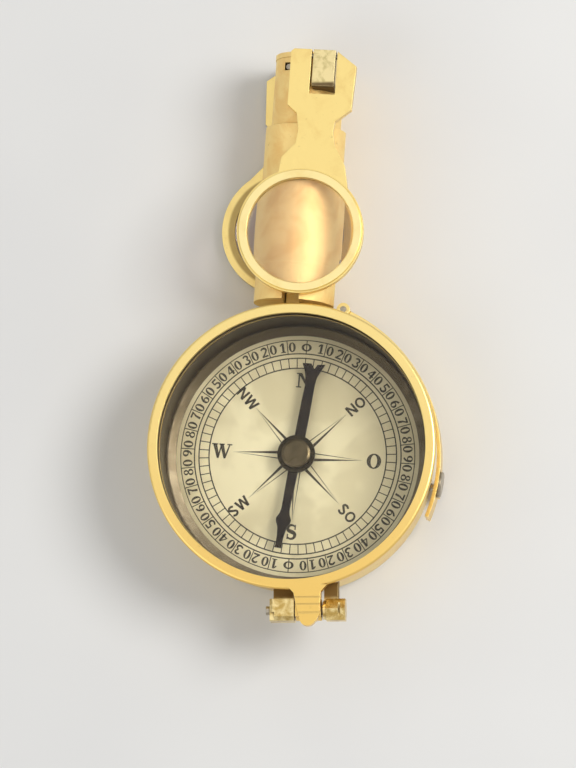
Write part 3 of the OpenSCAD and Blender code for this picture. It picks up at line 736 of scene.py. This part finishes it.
PLAIN = {
    "N": (0.86, bar(0.0, 0.0, 0.2, 1.0) + bar(0.64, 0.0, 0.84, 1.0)
          + [[(0.0, 1.0), (0.23, 1.0), (0.84, 0.0), (0.61, 0.0)]]),
    "W": (1.24, [[(0.0, 1.0), (0.22, 1.0), (0.44, 0.0), (0.22, 0.0)],
                 [(0.22, 0.0), (0.42, 0.0), (0.71, 1.0), (0.52, 1.0)],
                 [(0.52, 1.0), (0.71, 1.0), (1.0, 0.0), (0.8, 0.0)],
                 [(0.8, 0.0), (1.02, 0.0), (1.23, 1.0), (1.01, 1.0)]]),
    "O": (0.94, oval(0.45, 0.5, 0.45, 0.5, 0.2, 0.18)),
    "S": (0.74, stroke(arc(0.35, 0.73, 0.26, 0.2, 25, 190, 10)
                       + arc(0.36, 0.26, 0.26, 0.2, 70, -160, 12), 0.2)),
}


class Print:
    """Collects flat shapes and makes one thin raised mesh of them."""

    def __init__(self, turn, low, high):
        self.turn = -math.radians(turn)
        self.low = low
        self.high = high
        self.mesh = bmesh.new()

    def ring_of(self, points, height):
        return [self.mesh.verts.new((x * MM, y * MM, height)) for x, y in turned(points, self.turn)]

    def solid(self, points):
        lower, upper = self.ring_of(points, self.low), self.ring_of(points, self.high)
        wall(self.mesh, lower, upper)
        self.mesh.faces.new(upper)
        self.mesh.faces.new(lower[::-1])

    def ring(self, outer, inner):
        corners = ((outer, self.low), (outer, self.high), (inner, self.high), (inner, self.low))
        rings = [self.ring_of(points, height) for points, height in corners]
        for lower, upper in zip(rings, rings[1:] + rings[:1]):
            wall(self.mesh, lower, upper)

    def shapes(self, outlines, place):
        """Outlines of a glyph, each carried to its place. One with a hole is a pair."""
        for outline in outlines:
            if isinstance(outline, tuple):
                self.ring([place(p) for p in outline[0]], [place(p) for p in outline[1]])
            else:
                self.solid([place(p) for p in outline])

    def word(self, glyphs, text, height, middle, angle):
        """A word around a middle, reading along angle, in degrees from +X."""
        x, y = middle
        c, s = math.cos(math.radians(angle)), math.sin(math.radians(angle))
        width = sum(glyphs[ch][0] for ch in text) + LETTER_GAP * (len(text) - 1)
        start = -width / 2
        for ch in text:
            advance, outlines = glyphs[ch]

            def place(p, start=start):
                u, v = (p[0] + start) * height, (p[1] - 0.5) * height
                return (x + u * c - v * s, y + u * s + v * c)

            self.shapes(outlines, place)
            start += advance + LETTER_GAP

    def circle(self, radius, width):
        end = 360 - 360 / CIRCLE_SIDES
        outer, inner = (arc(0, 0, r, r, 0, end, CIRCLE_SIDES)
                        for r in (radius + width / 2, radius - width / 2))
        self.ring(outer, inner)

    def spoke(self, clock, r0, r1, width):
        """A short radial line at a clock angle from north."""
        a = math.radians(90 - clock)
        c, s = math.cos(a), math.sin(a)
        corners = ((r0, -width / 2), (r1, -width / 2), (r1, width / 2), (r0, width / 2))
        self.solid([(r * c - w * s, r * s + w * c) for r, w in corners])

    def piece(self, name):
        """Lays the print on the dial, which is part of the case."""
        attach(shown(name, finished(name, self.mesh, ink)), "case")


# Sizes of the print, and how far it is turned on the case and its digits are set apart, in degrees
DIAL_TURN = 4.7
INK_T = 0.02 * MM
LINE = 0.15
THICK_LINE = 0.2
CIRCLE_SIDES = 180
NUMBER_OUT = 18.6
NUMBER_IN = 16.42
NUMBER_MID = (NUMBER_OUT + NUMBER_IN) / 2
NUMBER_H = 1.55
DIGIT_TURN = 2.45
LADDER_OUT = 15.7
LADDER_IN = 14.1
LADDER_STEP = 5
RAY_TIP = 10.3
RAY_ROOT = 2.4
RAY_HALF = 0.68
RAY_SHADE = 0.2
RAY_LINE = 0.17
LETTER_R = 12.15
LETTER_H = 2.35
LETTER_GAP = 0.1
PAIR_R = 12.2
PAIR_H = 1.75


def dial_sheet():
    return Print(DIAL_TURN, DIAL_TOP, DIAL_TOP + INK_T)


ladder = dial_sheet()
ladder.circle(NUMBER_OUT, LINE)
for radius in (NUMBER_IN, LADDER_OUT, LADDER_IN):
    ladder.circle(radius, THICK_LINE)
for clock in range(0, 360, LADDER_STEP):
    ladder.spoke(clock, LADDER_IN, LADDER_OUT, LINE)
ladder.piece("dial_ladder")

# The degrees run from 0 in the north and the south to 90 in the east and the west
numbers = dial_sheet()
for clock in range(0, 360, 10):
    numbers.spoke(clock, NUMBER_IN, NUMBER_OUT, LINE)
    degrees = min(clock % 180, 180 - clock % 180)
    if degrees:
        for side, digit in zip((-DIGIT_TURN, DIGIT_TURN), str(degrees)):
            middle = at_clock(clock + side, NUMBER_MID)
            numbers.word(NUMERALS, digit, NUMBER_H, middle, -clock - side)
    else:
        numbers.word(ZERO_MARK, "0", NUMBER_H, at_clock(clock, NUMBER_MID), -clock)
numbers.piece("dial_numbers")


def rose_ray(sheet, clock):
    """One ray of the rose: its shaded half, and the line along the edge of its light half."""
    a = math.radians(90 - clock)
    c, s = math.cos(a), math.sin(a)

    def on_ray(r, w):
        """A point of the ray: r out from the middle, w to its clockwise side."""
        return (r * c + w * s, r * s - w * c)

    for first, last in ((RAY_SHADE, RAY_HALF), (-RAY_HALF, -RAY_HALF + RAY_LINE)):
        sheet.solid([on_ray(RAY_ROOT, first), on_ray(RAY_TIP, 0), on_ray(RAY_ROOT, last)])


rose = dial_sheet()
for clock in range(0, 360, 45):
    rose_ray(rose, clock)
rose.piece("dial_rose")

letters = dial_sheet()
for clock, text in ((0, "N"), (90, "O"), (180, "S"), (270, "W")):
    letters.word(LETTERS, text, LETTER_H, at_clock(clock, LETTER_R), 0)
for clock, text, lean in ((45, "NO", 45), (135, "SO", -45), (225, "SW", 45), (315, "NW", -45)):
    letters.word(PLAIN, text, PAIR_H, at_clock(clock, PAIR_R), lean)
letters.piece("dial_letters")


# Stage: pale floor, soft lamps and pale surroundings, in metres

FLOOR_HALF = 1.5
LAMP_AIM = Vector((0.0, 0.01, 0.0))
HORIZON = (0.60, 0.59, 0.57)
OVERHEAD = (1.0, 0.99, 0.97)


def pale_floor():
    data = bpy.data.meshes.new("floor")
    corners = [(FLOOR_HALF * x, FLOOR_HALF * y, 0) for x, y in ((-1, -1), (1, -1), (1, 1), (-1, 1))]
    data.from_pydata(corners, [], [(0, 1, 2, 3)])
    finish, t, output = new_material("floor_card")
    soft = t.ramp(t.noise(t.place_mm(), 0.02, 2.0, 0.5), 0.3, 0.7)
    colour = t.blend(soft, (0.80, 0.80, 0.79), (0.77, 0.77, 0.765))
    covered(t, output, {"Base Color": colour, "Roughness": 0.9})
    data.materials.append(finish)
    shown("floor", data)


def soft_lamp(name, place, size, power, colour):
    data = bpy.data.lights.new(name, "AREA")
    data.shape = "DISK"
    data.size = size
    data.energy = power
    data.color = colour
    made = shown(name, data)
    made.location = place
    made.rotation_euler = (LAMP_AIM - Vector(place)).to_track_quat("-Z", "Y").to_euler()


def surroundings():
    """Pale studio: white overhead and greyer towards the horizon, as camera, metal and glass see it."""
    world = bpy.data.worlds.new("studio")
    bpy.context.scene.world = world
    world.use_nodes = True
    world.node_tree.nodes.clear()
    t = Tree(world.node_tree)
    up = t.split(t.node("ShaderNodeTexCoord").outputs["Generated"])["Z"]
    sky = t.blend(t.ramp(up, 0.15, 0.9), HORIZON, OVERHEAD)
    path = t.node("ShaderNodeLightPath").outputs
    seen = t.math("MAXIMUM", path["Is Camera Ray"], path["Is Glossy Ray"])
    seen = t.math("MAXIMUM", seen, path["Is Transmission Ray"])
    show = t.node("ShaderNodeBackground", {"Color": sky, "Strength": 1.0})
    light = t.node("ShaderNodeBackground", {"Color": (1.0, 1.0, 1.0), "Strength": 0.5})
    both = t.node("ShaderNodeMixShader", {0: seen, 1: light.outputs[0], 2: show.outputs[0]})
    output = t.node("ShaderNodeOutputWorld")
    t.links.new(both.outputs[0], output.inputs["Surface"])


pale_floor()
surroundings()
soft_lamp("key", (0.42, 0.10, 0.5), 0.3, 2.5, (1.0, 0.98, 0.95))
soft_lamp("fill", (-0.4, -0.3, 0.5), 0.5, 0.6, (0.96, 0.98, 1.0))

# Camera: nearly overhead, a little to the right and to the foot, through a long lens. Its place is in
# millimetres, its turn in degrees, and the focal length is a share of the picture's longer side
CAMERA_PLACE = (87.6, -144.9, 938.9)
CAMERA_TURN = (9.473, 5.440, 0.063)
FOCAL_SHARE = 6000 / 768
SENSOR = 36.0
camera_data = bpy.data.cameras.new("camera")
camera_data.sensor_width = SENSOR
camera_data.lens = SENSOR * FOCAL_SHARE
camera_data.clip_start = 0.05
camera_data.clip_end = 20.0
camera = shown("camera", camera_data)
camera.location = Vector(CAMERA_PLACE) * MM
camera.rotation_euler = Euler([math.radians(a) for a in CAMERA_TURN], "XYZ")
bpy.context.scene.camera = camera

bpy.context.scene.view_settings.view_transform = "Standard"
